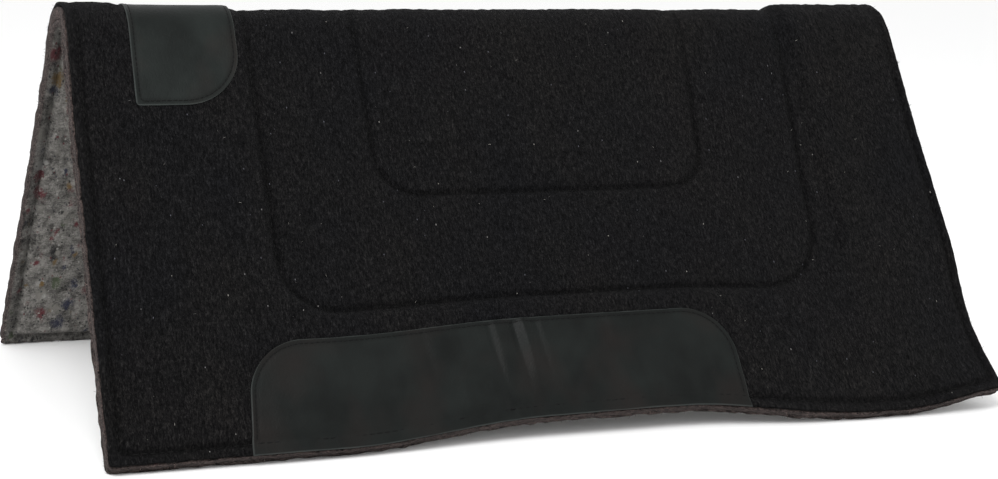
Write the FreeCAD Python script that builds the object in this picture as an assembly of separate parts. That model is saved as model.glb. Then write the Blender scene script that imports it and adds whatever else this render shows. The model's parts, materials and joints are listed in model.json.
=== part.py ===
"""Felt saddle pad standing as a tent over its spine.

X runs along the spine, with the front of the pad, which carries the wither
patch, at -X. Y runs across the pad: the left flap is at -Y and the right flap
at +Y. Z points up, and both hems stand on z = 0. The origin is on the floor,
midway between the hems and midway along the pad.

A place on a flap is given by x, by its drop, which is the distance from the
crown line measured down the outer face, and by its height above that face.
"""
import FreeCAD, Part
import math
import os

# The pad: lengths in mm, angles in degrees.
pad_length = 762.0
spine_to_hem = 393.7
flap_angle = 33.7
crown_radius = 36.0
hem_corner_radius = 4.0

# Its layers, from the outside in.
leather_thickness = 2.0
face_felt_thickness = 4.0
core_felt_thickness = 8.0
underside_felt_thickness = 6.0
layer_gap = 0.05

# Each hem rests on a narrow flat, where its inner corner is pressed down.
foot_flat_depth = 2.0

# The fold along the spine.
fold_closing_angle = 50.0
fold_face_gap = 0.4
fold_axis_cover = 0.1

# Sewing thread and the groove that it pulls into the layers.
thread_radius = 0.6
thread_sink = 0.2
groove_clearance = 0.15

# The seam round the whole edge.
edge_seam_inset = 10.0
edge_seam_corner_radius = 6.0

# The outer quilted U, measured in from the edges of the pad. Its rear leg leans forward on
# its way down, and the rear margin is the one on the crown.
outer_quilt_front_margin = 149.0
outer_quilt_rear_margin = 115.0
outer_quilt_rear_lean = 26.0
outer_quilt_hem_margin = 114.0
outer_quilt_front_corner_radius = 42.0
outer_quilt_rear_corner_radius = 60.0

# The inner quilted U, measured in from the outer one.
inner_quilt_front_margin = 93.0
inner_quilt_rear_margin = 97.0
inner_quilt_rear_lean = 17.0
inner_quilt_hem_margin = 97.0
inner_quilt_front_corner_radius = 36.0
inner_quilt_rear_corner_radius = 36.0

# A leaning leg runs straight off the crown for a little, then bends gently to its slant.
lean_start = 20.0
lean_bend_radius = 100.0

# Wear leather, low on each flap, where the stirrup leathers and cinch rub.
wear_leather_front_margin = 104.0
wear_leather_length = 419.0
wear_leather_height = 90.0
wear_leather_corner_radius = 42.0
leather_seam_inset = 3.5
lift_ramp = 4.0
lift_bend_radius = 1.5
seam_stop_gap = 3.0

# Wither patch, over the spine near the front.
wither_patch_front_margin = 54.0
wither_patch_length = 87.0
wither_patch_drop = 101.0
wither_patch_front_corner_radius = 3.0
wither_patch_rear_corner_radius = 48.0
wither_seam_front_corner_radius = 3.0

# What follows from those sizes.
flap_slope = math.radians(flap_angle)
crown_sweep = math.pi / 2 - flap_slope
crown_arc_length = crown_radius * crown_sweep
front_x = -pad_length / 2
rear_x = pad_length / 2

face_outer = 0.0
face_inner = face_outer - face_felt_thickness
core_outer = face_inner - layer_gap
core_inner = core_outer - core_felt_thickness
underside_outer = core_inner - layer_gap
underside_inner = underside_outer - underside_felt_thickness
leather_inner = face_outer + layer_gap
leather_outer = leather_inner + leather_thickness

crown_centre_z = (
    (spine_to_hem - crown_arc_length) * math.cos(flap_slope)
    - (crown_radius + underside_inner) * math.sin(flap_slope)
    - foot_flat_depth
)
highest_thread = leather_outer + thread_radius - thread_sink
fold_axis_z = crown_centre_z + crown_radius + highest_thread + fold_axis_cover
groove_radius = thread_radius + groove_clearance
cutter_reach = pad_length + spine_to_hem

LEFT = -1
RIGHT = 1


def vector(x, y, z):
    return FreeCAD.Vector(x, y, z)


def outward(side):
    """Unit normal of a flap's outer face."""
    return vector(0, side * math.cos(flap_slope), math.sin(flap_slope))


def downward(side):
    """Unit direction down a flap, from the crown to the hem."""
    return vector(0, side * math.sin(flap_slope), -math.cos(flap_slope))


def crown_point(side, x, height, turn):
    """Point on the crown, turned from straight up towards one flap."""
    radius = crown_radius + height
    return vector(x, side * radius * math.sin(turn), crown_centre_z + radius * math.cos(turn))


def flap_point(side, x, drop, height):
    """Point on the flat of a flap."""
    start = crown_point(side, x, height, crown_sweep)
    return start + downward(side) * (drop - crown_arc_length)


def crown_arc(side, x, height):
    """Arc over the crown, from its top to where the flat of the flap starts."""
    turns = (0.0, crown_sweep / 2, crown_sweep)
    return Part.Arc(*[crown_point(side, x, height, turn) for turn in turns]).toShape()


def line(start, end):
    return Part.LineSegment(start, end).toShape()


def rounded_path(points, radii):
    """Edges through the points, with a tangent arc of the given radius at each inner point."""
    edges = []
    start = points[0]
    for before, corner, after, radius in zip(points, points[1:], points[2:], radii):
        back = (before - corner).normalize()
        ahead = (after - corner).normalize()
        half_angle = back.getAngle(ahead) / 2
        trim = radius / math.tan(half_angle)
        arc_start = corner + back * trim
        arc_end = corner + ahead * trim
        middle = (back + ahead).normalize()
        arc_middle = corner + middle * (radius / math.sin(half_angle) - radius)
        edges.append(line(start, arc_start))
        edges.append(Part.Arc(arc_start, arc_middle, arc_end).toShape())
        start = arc_end
    edges.append(line(start, points[-1]))
    return edges


def layer(side, inner, outer, x_start, x_end, drop):
    """Half of a layer: over the crown and down one flap to the given drop."""
    top_inner = crown_point(side, x_start, inner, 0.0)
    top_outer = crown_point(side, x_start, outer, 0.0)
    low_inner = flap_point(side, x_start, drop, inner)
    low_outer = flap_point(side, x_start, drop, outer)
    bend_inner = crown_point(side, x_start, inner, crown_sweep)
    bend_outer = crown_point(side, x_start, outer, crown_sweep)
    section = Part.Wire([
        line(top_inner, top_outer),
        crown_arc(side, x_start, outer),
        line(bend_outer, low_outer),
        line(low_outer, low_inner),
        line(low_inner, bend_inner),
        crown_arc(side, x_start, inner),
    ])
    return Part.Face(section).extrude(vector(x_end - x_start, 0, 0))


def round_corner(solid, side, x, drop, radius):
    """Round the edge that runs through the layer at one lower corner of its outline."""
    corner = flap_point(side, x, drop, 0.0)
    normal = outward(side)
    found = []
    for edge in solid.Edges:
        ends = [vertex.Point - corner for vertex in edge.Vertexes]
        if all((end - normal * end.dot(normal)).Length < 0.01 for end in ends):
            found.append(edge)
    return solid.makeFillet(radius, found)


def fold_relief(side):
    """What is cut away between the two sides, so that they can close about the fold axis."""
    lean = math.radians(fold_closing_angle / 2)
    along = vector(0, side * math.sin(lean), -math.cos(lean))
    across = vector(0, side * math.cos(lean), math.sin(lean))
    face_start = vector(-cutter_reach, 0, fold_axis_z) + across * (fold_face_gap / 2)
    high = face_start - along * crown_radius
    low = face_start + along * cutter_reach
    outline = [high, low, low - across * cutter_reach, high - across * cutter_reach, high]
    return Part.Face(Part.makePolygon(outline)).extrude(vector(2 * cutter_reach, 0, 0))


def thread(edges, radius):
    """A round thread, or the groove for it, along a seam."""
    first = edges[0]
    start = first.valueAt(first.FirstParameter)
    direction = first.tangentAt(first.FirstParameter)
    section = Part.Wire([Part.makeCircle(radius, start, direction)])
    return Part.Wire(edges).makePipeShell([section], True, False)


def seam_over_crown(side, x_start, x_end, drop, height, corner_radii, lean=0.0, lifts=()):
    """A U that starts and ends on the crown. Its second leg may lean towards the first by
    the time it reaches the low run, and the low run may be lifted on the way: each lift is
    a place along it and the height that it reaches there."""
    low_run = [(x, drop, lifted) for x, lifted in lifts]
    places = [(x_start, crown_arc_length, height), (x_start, drop, height)]
    places += low_run
    places.append((x_end - lean, drop, height))
    radii = [corner_radii[0]] + [lift_bend_radius] * len(low_run) + [corner_radii[1]]
    if lean:
        places.append((x_end, crown_arc_length + lean_start, height))
        radii.append(lean_bend_radius)
    places.append((x_end, crown_arc_length, height))
    points = [flap_point(side, *place) for place in places]
    start_arc = crown_arc(side, x_start, height)
    end_arc = crown_arc(side, x_end, height)
    return [start_arc] + rounded_path(points, radii) + [end_arc]


outer_quilt_front_x = front_x + outer_quilt_front_margin
outer_quilt_rear_x = rear_x - outer_quilt_rear_margin
outer_quilt_drop = spine_to_hem - outer_quilt_hem_margin
inner_quilt_front_x = outer_quilt_front_x + inner_quilt_front_margin
inner_quilt_rear_x = outer_quilt_rear_x - inner_quilt_rear_margin
inner_quilt_drop = outer_quilt_drop - inner_quilt_hem_margin
wear_leather_front_x = front_x + wear_leather_front_margin
wear_leather_rear_x = wear_leather_front_x + wear_leather_length
wear_leather_top_drop = spine_to_hem - wear_leather_height
wither_patch_front_x = front_x + wither_patch_front_margin
wither_patch_rear_x = wither_patch_front_x + wither_patch_length
edge_seam_drop = spine_to_hem - edge_seam_inset

# Heights of thread centres, sunk a little into what they lie on.
on_face = face_outer - thread_sink
on_leather = leather_outer - thread_sink
behind_face = face_inner + thread_sink
on_underside = underside_inner + thread_sink


def edge_seam(side, height, lifts=()):
    radii = (edge_seam_corner_radius, edge_seam_corner_radius)
    x_start = front_x + edge_seam_inset
    x_end = rear_x - edge_seam_inset
    return seam_over_crown(side, x_start, x_end, edge_seam_drop, height, radii, lifts=lifts)


def edge_seam_over_leather(side):
    """The edge seam on the outside, where it climbs over the foot of the wear leather."""
    half_ramp = lift_ramp / 2
    lifts = [
        (wear_leather_front_x - half_ramp, on_face),
        (wear_leather_front_x + half_ramp, on_leather),
        (wear_leather_rear_x - half_ramp, on_leather),
        (wear_leather_rear_x + half_ramp, on_face),
    ]
    return edge_seam(side, on_face, lifts)


def outer_quilt(side, height):
    x_ends = (outer_quilt_front_x, outer_quilt_rear_x)
    radii = (outer_quilt_front_corner_radius, outer_quilt_rear_corner_radius)
    return seam_over_crown(side, *x_ends, outer_quilt_drop, height, radii, outer_quilt_rear_lean)


def inner_quilt(side, height):
    x_ends = (inner_quilt_front_x, inner_quilt_rear_x)
    radii = (inner_quilt_front_corner_radius, inner_quilt_rear_corner_radius)
    return seam_over_crown(side, *x_ends, inner_quilt_drop, height, radii, inner_quilt_rear_lean)


def wear_leather_outline(side, inset, low_drop, height):
    """Up the front edge of the wear leather, along its top and down its rear edge."""
    x_start = wear_leather_front_x + inset
    x_end = wear_leather_rear_x - inset
    top = wear_leather_top_drop + inset
    places = [(x_start, low_drop), (x_start, top), (x_end, top), (x_end, low_drop)]
    points = [flap_point(side, x, drop, height) for x, drop in places]
    radius = wear_leather_corner_radius - inset
    return rounded_path(points, [radius, radius])


def wear_leather_seam(side, height):
    return wear_leather_outline(side, leather_seam_inset, edge_seam_drop - seam_stop_gap, height)


def wither_patch_seam(side, height):
    x_start = wither_patch_front_x + leather_seam_inset
    x_end = wither_patch_rear_x - leather_seam_inset
    drop = wither_patch_drop - leather_seam_inset
    radii = (wither_seam_front_corner_radius, wither_patch_rear_corner_radius - leather_seam_inset)
    return seam_over_crown(side, x_start, x_end, drop, height, radii)


def felt(side, inner, outer):
    """One felt layer with both of its hem corners rounded."""
    sheet = layer(side, inner, outer, front_x, rear_x, spine_to_hem)
    for x in (front_x, rear_x):
        sheet = round_corner(sheet, side, x, spine_to_hem, hem_corner_radius)
    return sheet


def pressed_foot(side, sheet):
    """The underside felt with its hem's inner corner pressed flat on the floor."""
    below = Part.makeBox(2 * cutter_reach, 2 * cutter_reach, cutter_reach)
    below.translate(vector(-cutter_reach, -cutter_reach, -cutter_reach))
    return sheet.cut(below)


def wear_leather(side):
    edges = wear_leather_outline(side, 0.0, spine_to_hem, leather_inner)
    foot_start = edges[-1].Vertexes[-1].Point
    foot_end = edges[0].Vertexes[0].Point
    outline = Part.Wire(edges + [line(foot_start, foot_end)])
    return Part.Face(outline).extrude(outward(side) * leather_thickness)


def wither_patch(side):
    x_start = wither_patch_front_x
    x_end = wither_patch_rear_x
    patch = layer(side, leather_inner, leather_outer, x_start, x_end, wither_patch_drop)
    patch = round_corner(patch, side, x_start, wither_patch_drop, wither_patch_front_corner_radius)
    return round_corner(patch, side, x_end, wither_patch_drop, wither_patch_rear_corner_radius)


def sew(pieces, name, edges, layers):
    """Lay one thread along a seam and press its groove into the layers that it lies on."""
    pieces[name] = thread(edges, thread_radius)
    groove = thread(edges, groove_radius)
    for layer_name in layers:
        pieces[layer_name] = pieces[layer_name].cut(groove)


def pad_side(side):
    """Every piece of one side, in its place."""
    pieces = {
        "face_felt": felt(side, face_inner, face_outer),
        "core_felt": felt(side, core_inner, core_outer),
        "underside_felt": pressed_foot(side, felt(side, underside_inner, underside_outer)),
        "wear_leather": wear_leather(side),
        "wither_patch": wither_patch(side),
    }
    outside = ("face_felt",)
    inside = ("underside_felt",)
    between = ("face_felt", "core_felt")
    sew(pieces, "edge_needle_thread", edge_seam_over_leather(side), ("face_felt", "wear_leather"))
    sew(pieces, "edge_bobbin_thread", edge_seam(side, on_underside), inside)
    sew(pieces, "outer_quilt_needle_thread", outer_quilt(side, on_face), outside)
    sew(pieces, "outer_quilt_bobbin_thread", outer_quilt(side, on_underside), inside)
    sew(pieces, "inner_quilt_needle_thread", inner_quilt(side, on_face), outside)
    sew(pieces, "inner_quilt_bobbin_thread", inner_quilt(side, on_underside), inside)
    sew(pieces, "wear_leather_needle_thread", wear_leather_seam(side, on_leather), ("wear_leather",))
    sew(pieces, "wear_leather_bobbin_thread", wear_leather_seam(side, behind_face), between)
    sew(pieces, "wither_patch_needle_thread", wither_patch_seam(side, on_leather), ("wither_patch",))
    sew(pieces, "wither_patch_bobbin_thread", wither_patch_seam(side, behind_face), between)
    relief = fold_relief(side)
    return {name: piece.cut(relief) for name, piece in pieces.items()}


os.makedirs("parts", exist_ok=True)
for side_name, side in (("left", LEFT), ("right", RIGHT)):
    for piece_name, piece in pad_side(side).items():
        node = side_name + "_" + piece_name
        solids = piece.Solids
        piece = solids[0] if len(solids) == 1 else Part.makeCompound(solids)
        piece.exportStep("parts/" + node + ".step")
        box = piece.BoundBox
        print(node, len(solids), piece.isValid(), round(piece.Volume), "mm3",
              [round(v, 2) for v in (box.XMin, box.YMin, box.ZMin, box.XMax, box.YMax, box.ZMax)])
print("fold axis height", round(fold_axis_z, 3), "crown centre height", round(crown_centre_z, 3))
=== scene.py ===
# %% [markdown]
# # A felt saddle pad, standing as a tent
#
# The real pad is a stack of three felts, folded over a horse's spine. Two U-shaped seams are
# quilted down each side, one inside the other, and a third seam runs round the whole edge.
# Black leather is sewn over the withers and low on each flap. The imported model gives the
# outlines, the fold and the bodies. What its boxes and mounts don't tell, such as the radii of
# round corners and the thickness of the stack, is given here as named sizes.

# %% Load the frame
import json
import math

import bmesh
import bpy
import numpy as np
from mathutils import Matrix, Vector
from mathutils.kdtree import KDTree


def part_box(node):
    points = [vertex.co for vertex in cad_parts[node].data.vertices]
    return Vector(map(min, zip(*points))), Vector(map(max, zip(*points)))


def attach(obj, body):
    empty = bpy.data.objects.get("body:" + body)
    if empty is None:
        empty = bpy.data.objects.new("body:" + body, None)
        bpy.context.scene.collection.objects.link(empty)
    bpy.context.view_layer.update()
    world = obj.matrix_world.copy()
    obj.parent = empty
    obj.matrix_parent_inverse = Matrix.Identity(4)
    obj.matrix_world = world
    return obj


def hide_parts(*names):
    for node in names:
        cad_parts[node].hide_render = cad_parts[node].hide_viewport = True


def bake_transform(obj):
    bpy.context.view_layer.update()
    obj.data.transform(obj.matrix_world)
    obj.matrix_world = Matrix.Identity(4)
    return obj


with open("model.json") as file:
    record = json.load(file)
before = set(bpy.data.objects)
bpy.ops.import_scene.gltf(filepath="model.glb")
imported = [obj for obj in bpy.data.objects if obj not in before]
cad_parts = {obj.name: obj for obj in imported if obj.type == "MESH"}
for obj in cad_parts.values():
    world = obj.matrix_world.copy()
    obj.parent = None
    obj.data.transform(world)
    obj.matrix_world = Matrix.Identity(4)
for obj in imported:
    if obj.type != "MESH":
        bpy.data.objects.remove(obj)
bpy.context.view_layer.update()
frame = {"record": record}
record = frame["record"]

# %% [markdown]
# # The pad laid flat, and folded
#
# Cloth is easiest to think of as it lies on the cutting table. Every piece here is first made
# flat, where a place is `along` the spine, `across` it (left flap negative), and a `height`
# above the outer face. One function then lays such places over the crown and down the flaps.
# Its slope, height and length come from the frame's saddle seats and face felt. Only the
# radius of its crown is given here.

# %% Sizes that follow from the frame
MM = 0.001
crown_radius = 36 * MM
seat = next(mount for mount in record["mounts"] if mount["name"] == "right_saddle_seat")
seat_normal = Vector(seat["axis"]).normalized()
slope = math.asin(seat_normal.z)
crown_height = (Vector(seat["pos_m"]).dot(seat_normal) - crown_radius) / seat_normal.z
_, face_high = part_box("right_face_felt")
half_length = face_high.x
crown_sweep = math.pi / 2 - slope
crown_arc = crown_radius * crown_sweep
flat_drop = (face_high.y - crown_radius * math.cos(slope)) / math.sin(slope)
half_width = crown_arc + flat_drop
print(f"pad {2000 * half_length:.0f} by {2000 * half_width:.0f} mm, slope {math.degrees(slope):.1f} degrees")


def ease(low, high, value):
    """0 below low, 1 above high, and a smooth rise between them."""
    t = np.clip((value - low) / (high - low), 0, 1)
    return t * t * (3 - 2 * t)


# %% [markdown]
# A real pad is never a perfect fold. Handling has drawn it in a little at the crown and let it
# spread at the hem. Both flaps hang in slow waves. The left hem arches off the floor under its
# stiff leather, kicks out behind that, and curls up at its rear corner, while the right flap
# keeps a square shoulder at its front. These few smooth terms give all pieces the same lived-in
# shape, because every piece goes through `fold`.

# %% Fold flat places into the tent
crown_narrowing = 0.012
fold_narrowing = 0.006
fold_narrowing_reach = 25 * MM
hem_spread = 0.014
wave_height, wave_run = 1.2 * MM, 52 * MM
wave_start_left, wave_start_right = 0.4, 2.1
hem_arch = 13.5 * MM
hem_swing = 5 * MM
hem_kick = 8 * MM
corner_curl = 12 * MM
corner_lift = 7 * MM
corner_draw = 6.5 * MM
front_shoulder = 5 * MM
shoulder_drop, shoulder_width = 34 * MM, 22 * MM
hanging_from = 0.5
foot_from = 0.76
arch_place = (-35 * MM, 90 * MM, 170 * MM)
swing_place = (190 * MM, 300 * MM, 90 * MM)
kick_start, kick_end = 60 * MM, 190 * MM
corner_start, corner_end = 280 * MM, 385 * MM


def plateau(along, start, end, ramp_length):
    """1 between two places along the pad, easing to 0 outside them."""
    return ease(start - ramp_length, start, along) * (1 - ease(end, end + ramp_length, along))


def spread(across):
    """How much the worn pad has grown along its spine, as a share, at each place across it."""
    down = np.abs(across)
    fold_pinch = fold_narrowing * np.exp(-down / fold_narrowing_reach)
    return (crown_narrowing + hem_spread) * down / half_width - crown_narrowing - fold_pinch


def settle(along, across):
    """How far the worn pad lies off its ideal fold: out from its face, further down it, and
    drawn in from its rear edge."""
    down = np.abs(across)
    left = across < 0
    low = ease(hanging_from * half_width, half_width, down)
    foot = np.maximum((down / half_width - foot_from) / (1 - foot_from), 0) ** 2
    corner = ease(corner_start, corner_end, along)
    wave_start = np.where(left, wave_start_left, wave_start_right)
    wave = wave_height * np.sin(along / wave_run + wave_start) * low
    swing = hem_swing * low * plateau(along, *swing_place)
    kick = hem_kick * foot * ease(kick_start, kick_end, along)
    arch = hem_arch * low * plateau(along, *arch_place)
    curl = corner_curl * foot * corner
    shoulder = np.exp(-((down - shoulder_drop) / shoulder_width) ** 2)
    shoulder = front_shoulder * shoulder * ease(290 * MM, 380 * MM, -along)
    out = wave + np.where(left, swing + kick + curl, 0.3 * curl + shoulder)
    lift = arch + corner_lift * corner * foot
    longer = np.where(left, (swing + kick) * math.tan(slope) - lift, -0.35 * arch)
    drawn = corner_draw * ease(0.6 * half_width, 0.85 * half_width, down) * ease(250 * MM, 381 * MM, along)
    return out, longer, drawn * left


def fold(along, across, height):
    """Points in the frame for places on the flat pad, given as arrays of metres."""
    out, longer, drawn_in = settle(along, across)
    side = np.sign(across)
    down = np.abs(across) + longer
    turn = np.minimum(down / crown_radius, crown_sweep)
    below = np.maximum(down - crown_arc, 0)
    radius = crown_radius + height + out
    y = side * (radius * np.sin(turn) + below * math.sin(slope))
    z = crown_height + radius * np.cos(turn) - below * math.cos(slope)
    return np.stack([along * (1 + spread(across)) - drawn_in, y, np.maximum(z, 0.2 * MM)], axis=-1)


# %% [markdown]
# # Seams
#
# Each seam is drawn once, as a few corners joined by straight runs and round turns. The same
# line then guides the valley that it pulls into the felt and the stitches that lie in it.
# A seam that crosses the spine is a closed loop: a U on the left flap and its twin on the
# right. The rear legs of both quilted loops lean forward as they go down.

# %% Draw a line with round corners
def rounded_line(corners, radii, closed, step=1.5 * MM):
    """Points a step apart along straight runs and tangent arcs, from corners on the flat pad."""
    corners = [Vector(corner) for corner in corners]
    count = len(corners)
    points = []
    for i, (corner, radius) in enumerate(zip(corners, radii)):
        if not closed and i in (0, count - 1):
            points.append(corner)
            continue
        back = (corners[i - 1] - corner).normalized()
        ahead = (corners[(i + 1) % count] - corner).normalized()
        half = back.angle(ahead) / 2
        centre = corner + (back + ahead).normalized() * radius / math.sin(half)
        start = corner + back * radius / math.tan(half) - centre
        turn = (math.pi - 2 * half) * (1 if back.cross(ahead) < 0 else -1)
        rows = max(2, math.ceil(abs(turn) * radius / step))
        for k in range(rows + 1):
            points.append(centre + Matrix.Rotation(turn * k / rows, 2) @ start)
    if closed:
        points.append(points[0])
    line = np.array(points)
    lengths = np.linalg.norm(np.diff(line, axis=0), axis=1)
    travelled = np.concatenate([[0], np.cumsum(lengths)])
    places = np.linspace(0, travelled[-1], int(travelled[-1] / step) + 1)
    return np.stack([np.interp(places, travelled, line[:, k]) for k in (0, 1)], axis=1)


def reach(node_name, drop_beyond=0.0):
    """The front, rear and drop of a node of the left flap, on the flat pad."""
    low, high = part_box(node_name)
    below = (crown_height + crown_radius * math.sin(slope) - low.z) / math.cos(slope)
    return low.x, high.x, crown_arc + below - drop_beyond


thread_room = 0.6 * MM
outer_front_radius, outer_rear_radius = 42 * MM, 60 * MM
inner_radius = 36 * MM
edge_front, edge_rear, edge_reach = reach("left_edge_needle_thread", thread_room)
edge_corner_radius = 6 * MM
outer_front, outer_rear, outer_drop = reach("left_outer_quilt_needle_thread", thread_room)
inner_front, inner_rear, inner_drop = reach("left_inner_quilt_needle_thread", thread_room)
outer_lean, inner_lean = 26 * MM, 17 * MM
wear_height, wear_radius = 90 * MM, 42 * MM
wear_front, wear_rear, _ = reach("left_wear_leather")
wear_front, wear_rear = (x / (1 + spread(half_width - wear_height / 2)) for x in (wear_front, wear_rear))
wear_lean = 0.085
patch_front, patch_rear, patch_drop = reach("left_wither_patch")
patch_front, patch_rear = (x / (1 + spread(patch_drop / 2)) for x in (patch_front, patch_rear))
patch_front_radius, patch_rear_radius = 3 * MM, 48 * MM
leather_inset = 3.5 * MM
print("outer quilt", [round(1000 * size) for size in (outer_front, outer_rear, outer_drop)])


def loop_over_spine(front, rear, drop, front_radius, rear_radius, lean=0.0):
    """A closed seam over the spine, whose rear legs lean in as they go down."""
    corners = [(front, -drop), (rear - lean, -drop), (rear, 0), (rear - lean, drop), (front, drop)]
    crown_turn = 250 * MM
    radii = [front_radius, rear_radius, crown_turn, rear_radius, front_radius]
    if not lean:
        del corners[2], radii[2]
    return rounded_line(corners, radii, closed=True)


def front_lean(along, across):
    """How far the front of a wear leather leans back above the hem, easing to none at its rear."""
    share = np.clip((wear_rear - along) / (wear_rear - wear_front), 0, 1)
    return wear_lean * (half_width - np.abs(across)) * share


def wear_leather_line(side, inset, stop):
    """Up the front of a wear leather, along its top and down its rear, on one flap."""
    top = half_width - wear_height + inset
    front, rear, radius = wear_front + inset, wear_rear - inset, wear_radius - inset
    corners = [(front, side * stop), (front, side * top), (rear, side * top), (rear, side * stop)]
    line = rounded_line(corners, [0, radius, radius, 0], closed=False)
    line[:, 0] += front_lean(line[:, 0], line[:, 1])
    return line


edge_line = loop_over_spine(edge_front, edge_rear, edge_reach, edge_corner_radius, edge_corner_radius)
outer_line = loop_over_spine(
    outer_front, outer_rear, outer_drop, outer_front_radius, outer_rear_radius, outer_lean)
inner_line = loop_over_spine(inner_front, inner_rear, inner_drop, inner_radius, inner_radius, inner_lean)
patch_line = loop_over_spine(
    patch_front + leather_inset, patch_rear - leather_inset, patch_drop - leather_inset,
    patch_front_radius, patch_rear_radius - leather_inset)
wear_lines = {side: wear_leather_line(side, leather_inset, edge_reach - 3 * MM) for side in (-1, 1)}
for name, line in (("edge", edge_line), ("outer quilt", outer_line), ("inner quilt", inner_line)):
    print(f"{name} seam {np.linalg.norm(np.diff(line, axis=0), axis=1).sum():.2f} m")


def distance_to(lines, along, across):
    """How far each place is from the nearest point of some seam lines."""
    points = np.concatenate(lines)
    tree = KDTree(len(points))
    for i, (x, y) in enumerate(points):
        tree.insert((x, y, 0), i)
    tree.balance()
    places = zip(np.ravel(along), np.ravel(across))
    found = [tree.find((x, y, 0))[2] for x, y in places]
    return np.array(found).reshape(np.shape(along))


# %% [markdown]
# # Quilting by simulation
#
# Stitching holds the stack down along the seams while the felt between them springs back up.
# That is a cloth problem, so a coarse flat quilt with two faces is pinned along the seams and
# blown up with a little pressure. Only its heights are kept: capped, they give plateaus with
# soft shoulders and small natural differences, which the fine pieces read below.

# %% From a bmesh to an object
def finished_mesh(shape, name):
    """A mesh made from a bmesh, which is then freed."""
    mesh = bpy.data.meshes.new(name)
    shape.to_mesh(mesh)
    shape.free()
    return mesh


def show(name, mesh):
    """A new object at the origin that holds a mesh."""
    piece = bpy.data.objects.new(name, mesh)
    bpy.context.scene.collection.objects.link(piece)
    return piece


# %% Blow up the coarse quilt
quilt_step = 7 * MM
quilt_depth = 12 * MM
puff_cap = 6 * MM
puff_frames = 20
columns = round(2 * half_length / quilt_step)
rows = round(2 * half_width / quilt_step)
grid_along, grid_across = np.meshgrid(
    np.linspace(-half_length, half_length, columns + 1),
    np.linspace(-half_width, half_width, rows + 1))
grid_gap = distance_to([edge_line, outer_line, inner_line], grid_along, grid_across)


def blown_quilt():
    """Rise of the top and bottom faces of the pinned, inflated quilt, on the grid."""
    quilt = bmesh.new()
    bmesh.ops.create_grid(quilt, x_segments=columns, y_segments=rows, size=0.5)
    pulled = bmesh.ops.extrude_face_region(quilt, geom=quilt.faces[:], use_keep_orig=True)
    top = [item for item in pulled["geom"] if isinstance(item, bmesh.types.BMVert)]
    bmesh.ops.translate(quilt, verts=top, vec=(0, 0, 1))
    bmesh.ops.scale(quilt, verts=quilt.verts, vec=(2 * half_length, 2 * half_width, quilt_depth))
    bmesh.ops.recalc_face_normals(quilt, faces=quilt.faces)
    mesh = finished_mesh(quilt, "quilt")
    piece = show("quilt", mesh)
    start = np.array([vertex.co for vertex in mesh.vertices])
    column = np.rint((start[:, 0] + half_length) / (2 * half_length) * columns).astype(int)
    row = np.rint((start[:, 1] + half_width) / (2 * half_width) * rows).astype(int)
    upper = start[:, 2] > quilt_depth / 2
    pins = piece.vertex_groups.new(name="seams")
    pinned = np.flatnonzero(grid_gap[row, column] < 0.6 * quilt_step)
    pins.add(pinned.tolist(), 1.0, "REPLACE")
    cloth = piece.modifiers.new("puff", "CLOTH")
    cloth.settings.vertex_group_mass = pins.name
    cloth.settings.use_pressure = True
    cloth.settings.uniform_pressure_force = 4.0
    cloth.settings.effector_weights.gravity = 0.0
    cloth.settings.quality = 4
    cloth.point_cache.frame_start = 1
    cloth.point_cache.frame_end = puff_frames
    for step in range(1, puff_frames + 1):
        bpy.context.scene.frame_set(step)
    posed = piece.evaluated_get(bpy.context.evaluated_depsgraph_get()).to_mesh()
    rise = np.array([vertex.co.z for vertex in posed.vertices]) - start[:, 2]
    heights = []
    for face, sign in ((upper, 1), (~upper, -1)):
        level = np.zeros(grid_along.shape)
        level[row[face], column[face]] = sign * rise[face]
        heights.append(level)
    bpy.data.objects.remove(piece)
    bpy.data.meshes.remove(mesh)
    bpy.context.scene.frame_set(1)
    return heights


puffs = [np.tanh(np.maximum(level, 0) / puff_cap) for level in blown_quilt()]
print("quilt rises to", [round(float(level.max()), 2) for level in puffs], "of its cap")


def read_grid(level, along, across):
    """A level of the coarse grid at any place, smoothed between its points."""
    column = np.clip((along + half_length) / (2 * half_length) * columns, 0, columns - 1e-6)
    row = np.clip((across + half_width) / (2 * half_width) * rows, 0, rows - 1e-6)
    i, j = column.astype(int), row.astype(int)
    u, v = ease(0, 1, column - i), ease(0, 1, row - j)
    low = level[j, i] * (1 - u) + level[j, i + 1] * u
    high = level[j + 1, i] * (1 - u) + level[j + 1, i + 1] * u
    return low * (1 - v) + high * v


# %% [markdown]
# # Heights of the faces
#
# Felt is lumpy: fibres mat into soft clots a few millimetres wide, drawn out a little down
# the flap. A lattice of random values, smoothed between its points, gives such lumps, and it
# is fast, repeatable and easy to stretch. The outer face is then a sum: the puff between the
# seams, a narrow valley at each seam, the lumps, and a flat pressed bed under each leather.

# %% Lumps in the felt
def lumps(along, across, size, seed):
    """Smooth noise between -1 and 1 on the flat pad, with lumps of the given two sizes."""
    u = (along + 0.6) / size[0]
    v = (across + 0.6) / size[1]
    i, j = np.floor(u).astype(int), np.floor(v).astype(int)
    values = np.random.default_rng(seed).uniform(-1, 1, (int(1.2 / size[1]) + 3, int(1.2 / size[0]) + 3))
    a, b = ease(0, 1, u - i), ease(0, 1, v - j)
    low = values[j, i] * (1 - a) + values[j, i + 1] * a
    high = values[j + 1, i] * (1 - a) + values[j + 1, i + 1] * a
    return low * (1 - b) + high * b


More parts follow.
